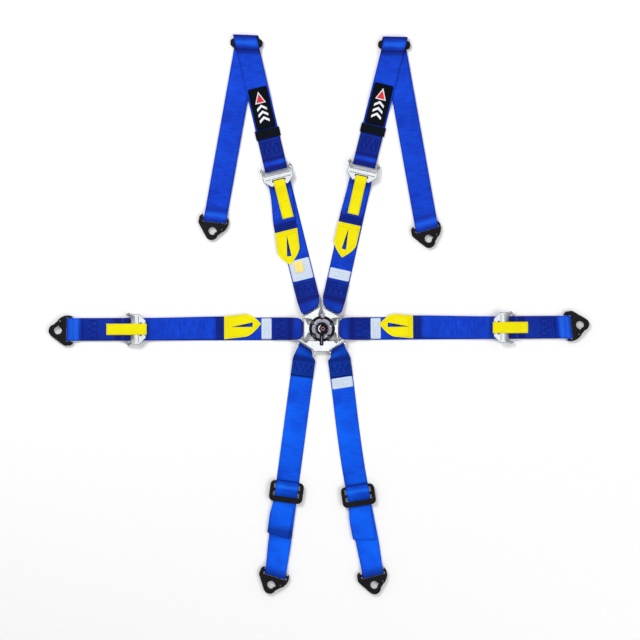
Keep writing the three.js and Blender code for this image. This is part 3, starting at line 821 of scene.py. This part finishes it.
def leg(side, f):
    belt = f"leg_{side}"
    slide, length = f["slide"], f["length"]
    zones = [slot_zone(f["yoke"] - f["heading"], 36), (length, 75, f["turn"], 47)]
    place = Place(*f["start"], f["heading"], zones, (f["bow"], length), corner=7)
    near, over = slide - LEG_SLIDE_EDGE - GAP - HALF, LEG_SLIDE_TOP + GAP + HALF
    under = LAYER[1]
    path = [*tongue_wrap(), *bracket_wrap(length), (near + 2.3, under),
            (near + 0.7, under + 0.2), (near, under + 1.2), (near, over - 1.2),
            (near + 0.7, over - 0.2), (near + 2, over), (slide + 2, over),
            (slide + 9, LAYER[2] + 0.6), (slide + 11, LAYER[2]),
            (slide + LEG_TAIL, LAYER[2])]

    def aside(part, x):
        """The tail, which is the last part of the run, lies a little to one side."""
        return -5 * smooth(x, slide + 10, slide + 60) * (part > 0.85)

    # Painted shade and highlight on the sewn loop and its folds, a painted shade line where it
    # goes under the slide with a painted highlight after it, and painted shade at the bracket's
    # fold; the left tail is darker towards its free end.
    def shade(x, z):
        if x < SEWN + 3:
            loop = 0.8 * (1 - smooth(x, SEWN - 2, SEWN + 3)) - 0.4 * line(x, 16, 11)
            return loop + 0.5 * line(x, 1, 8) + 0.4 * line(x, 28, 8) + 0.9 * line(x, SEWN, 3)
        if abs(x - slide) < 25:
            return 0.25 + 0.8 * line(x, near, 5) - 0.6 * line(x, slide - 10, 8)
        tail = line(x, slide + LEG_TAIL - 8, 22) * (z > LAYER[1]) * (side == "left")
        return 0.8 * tail + 0.75 * line(x, length, 22)

    web, run = ribbon(f"{belt}_belt", place, path, BRIGHT, belt, aside=aside, dark=shade,
                      oblique=4)
    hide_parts(f"{belt}_webbing")
    seams = [*zigzag(36, 60, 18), ((SEWN - 1, -22), (SEWN - 1, 22))]
    extras = [stitches(f"{belt}_loop_thread", place, seams, lambda x: TOP[1], THREAD, belt)]
    if side == "right":
        extras += pale_label(belt, place, belt, 69, 92)
    rivet(belt, place.child(length, 0, f["turn"]), 1)


def buckle():
    centre = Place(0, 0, 0)
    dome = [(8.6, 22.9), (9.1, 23.2), (9.1, 24.0), (8.5, 24.7), (6.5, 25.2), (3.5, 25.5),
            (0.2, 25.6)]
    cap = lathe("cap_dome", centre, 0, 0, dome, GLOSS, "handle")
    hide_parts("handle_cap")
    # The pale crescent on the cap is a painted reflection, in the same pale material as the
    # printed marks.
    arc = [round_about(a, 1) for a in range(100, 261, 8)]
    outer = [(8.5 * c, 8.5 * s) for c, s in arc]
    inner = [(8.5 * c + 3.6 * max(0, -c) ** 1.5, 8.2 * s) for c, s in reversed(arc)]
    flat_piece("cap_crescent", centre, [outer + inner[1:-1]],
               lambda x: 24.8 + 0.08 * (8.5 + x), PALE_PRINT_AND_REFLECTION, "handle", 0.2)
    mark = [[(2 + r * math.cos(math.radians(a)), r * math.sin(math.radians(a)))
             for a in range(0, 360, 12)] for r in (4.4, 2.6)]
    flat_piece("cap_mark", centre, mark, lambda x: 25.45, ROSE_PRINT, "handle", 0.2)
    lever = Place(0, 0, 268)
    flat_piece("lever_line", lever, [dense([(17, -0.55), (34, -0.55), (34, 0.55), (17, 0.55)])],
               lambda x: 26.2, FACE, "handle", 0.15)
    face_plate(centre)
    button = [(4.6, 20.6), (4.7, 20.8), (4.3, 21.3), (3.0, 21.7), (0.2, 21.9)]
    lathe("stop_button", centre, 1.4, 28, button, FACE, "buckle", 32)


def face_plate(centre):
    """Plate with a scallop round each screw and round the stop button."""
    scallops = [(a, 24.3, 6.4) for a in (20, 146, 221, 308)] + [(87, 28, 8.2)]

    def edge(angle):
        radius = 22.2
        for at, away, cut in scallops:
            turn = math.radians(angle - at)
            inside = cut ** 2 - (away * math.sin(turn)) ** 2
            if math.cos(turn) > 0 and inside > 0:
                radius = min(radius, away * math.cos(turn) - math.sqrt(inside))
        return radius

    low, high, hole = 18.3, 20.3, 13.6
    rings = []
    for inset, z in ((0, low), (0, high - 0.7), (0.25, high - 0.25), (0.8, high)):
        rings.append([centre.at(*round_about(a, edge(a) - inset), z) for a in range(0, 360, 2)])
    for radius, z in ((hole + 1.2, high), (hole + 0.4, high - 0.3), (hole, low)):
        rings.append([centre.at(*round_about(a, radius), z) for a in range(0, 360, 2)])
    faces = loft(rings, closed_ends=False) + joined(rings)
    plate = piece("face_plate", points_of(rings), faces, FACE, "buckle")
    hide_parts("buckle_face_plate")


def joined(rings):
    """Faces from the last ring back to the first."""
    count, last = len(rings[0]), (len(rings) - 1) * len(rings[0])
    return [(last + k, last + (k + 1) % count, (k + 1) % count, k) for k in range(count)]


def finish_cad_nodes():
    slots = {entry["node"]: entry["material_slot"] for entry in frame["record"]["subparts"]}
    for name, obj in frame["nodes"].items():
        finish = FINISH_OF[slots[name]]
        if not obj.data.materials:
            obj.data.materials.append(finish)
        for i in range(len(obj.material_slots)):
            obj.material_slots[i].material = finish


def area_light(name, place, target, size, power):
    data = bpy.data.lights.new(name, "AREA")
    data.shape, data.size, data.energy = "SQUARE", size, power
    obj = bpy.data.objects.new(name, data)
    bpy.context.collection.objects.link(obj)
    obj.location = place
    obj.rotation_euler = (Vector(target) - Vector(place)).to_track_quat("-Z", "Y").to_euler()


def floor():
    pale = hard("pale_floor", (0.9, 0.9, 0.905), (0.91, 0.91, 0.915), 0.9, 0.0,
                grain=300, depth=0.01, Specular_IOR_Level=0.1)
    half, below = 6, -0.0004  # metres
    corners = [(-half, -half, below), (half, -half, below), (half, half, below),
               (-half, half, below)]
    mesh = bpy.data.meshes.new("floor")
    mesh.from_pydata(corners, [], [(0, 1, 2, 3)])
    mesh.materials.append(pale)
    obj = bpy.data.objects.new("floor", mesh)
    bpy.context.collection.objects.link(obj)


def sky():
    """Soft surround: pale below, dark towards the top, bright straight overhead."""
    world = bpy.data.worlds.new("studio")
    world.use_nodes = True
    tree = world.node_tree
    background = tree.nodes["Background"]
    split = tree.nodes.new("ShaderNodeSeparateXYZ")
    tones = tree.nodes.new("ShaderNodeValToRGB")
    tree.links.new(tree.nodes.new("ShaderNodeTexCoord").outputs["Generated"], split.inputs[0])
    tree.links.new(split.outputs["Z"], tones.inputs["Fac"])
    tree.links.new(tones.outputs["Color"], background.inputs["Color"])
    stops = tones.color_ramp.elements
    for place, tone in ((0.0, 0.75), (0.7, 0.85), (0.86, 0.12), (0.95, 0.3), (0.972, 1.25)):
        stops.new(place).color = (tone, tone, tone, 1)
    stops.remove(stops[0])
    stops.remove(stops[-1])
    background.inputs["Strength"].default_value = 0.85
    bpy.context.scene.world = world
    bpy.context.scene.view_settings.view_transform = "Standard"


def camera():
    distance, span, sensor = 6.0, 1.408, 36  # metres, metres across the view, millimetres
    data = bpy.data.cameras.new("camera")
    data.sensor_width = sensor
    data.lens = sensor * distance / span
    obj = bpy.data.objects.new("camera", data)
    bpy.context.collection.objects.link(obj)
    obj.location = (-0.0044, 0.0191, distance)
    bpy.context.scene.camera = obj


def studio():
    floor()
    area_light("key", (-1.5, 1.9, 2.6), (0, 0, 0), 1.1, 66)
    area_light("fill", (2.2, -1.2, 2.6), (0, 0, 0), 2.0, 40)
    sky()
    camera()


studio()
finish_cad_nodes()
buckle()
for side, facts in SHOULDERS.items():
    shoulder(side, facts)
for side, facts in LAPS.items():
    lap(side, facts)
for side, facts in LEGS.items():
    leg(side, facts)

bpy.context.view_layer.update()
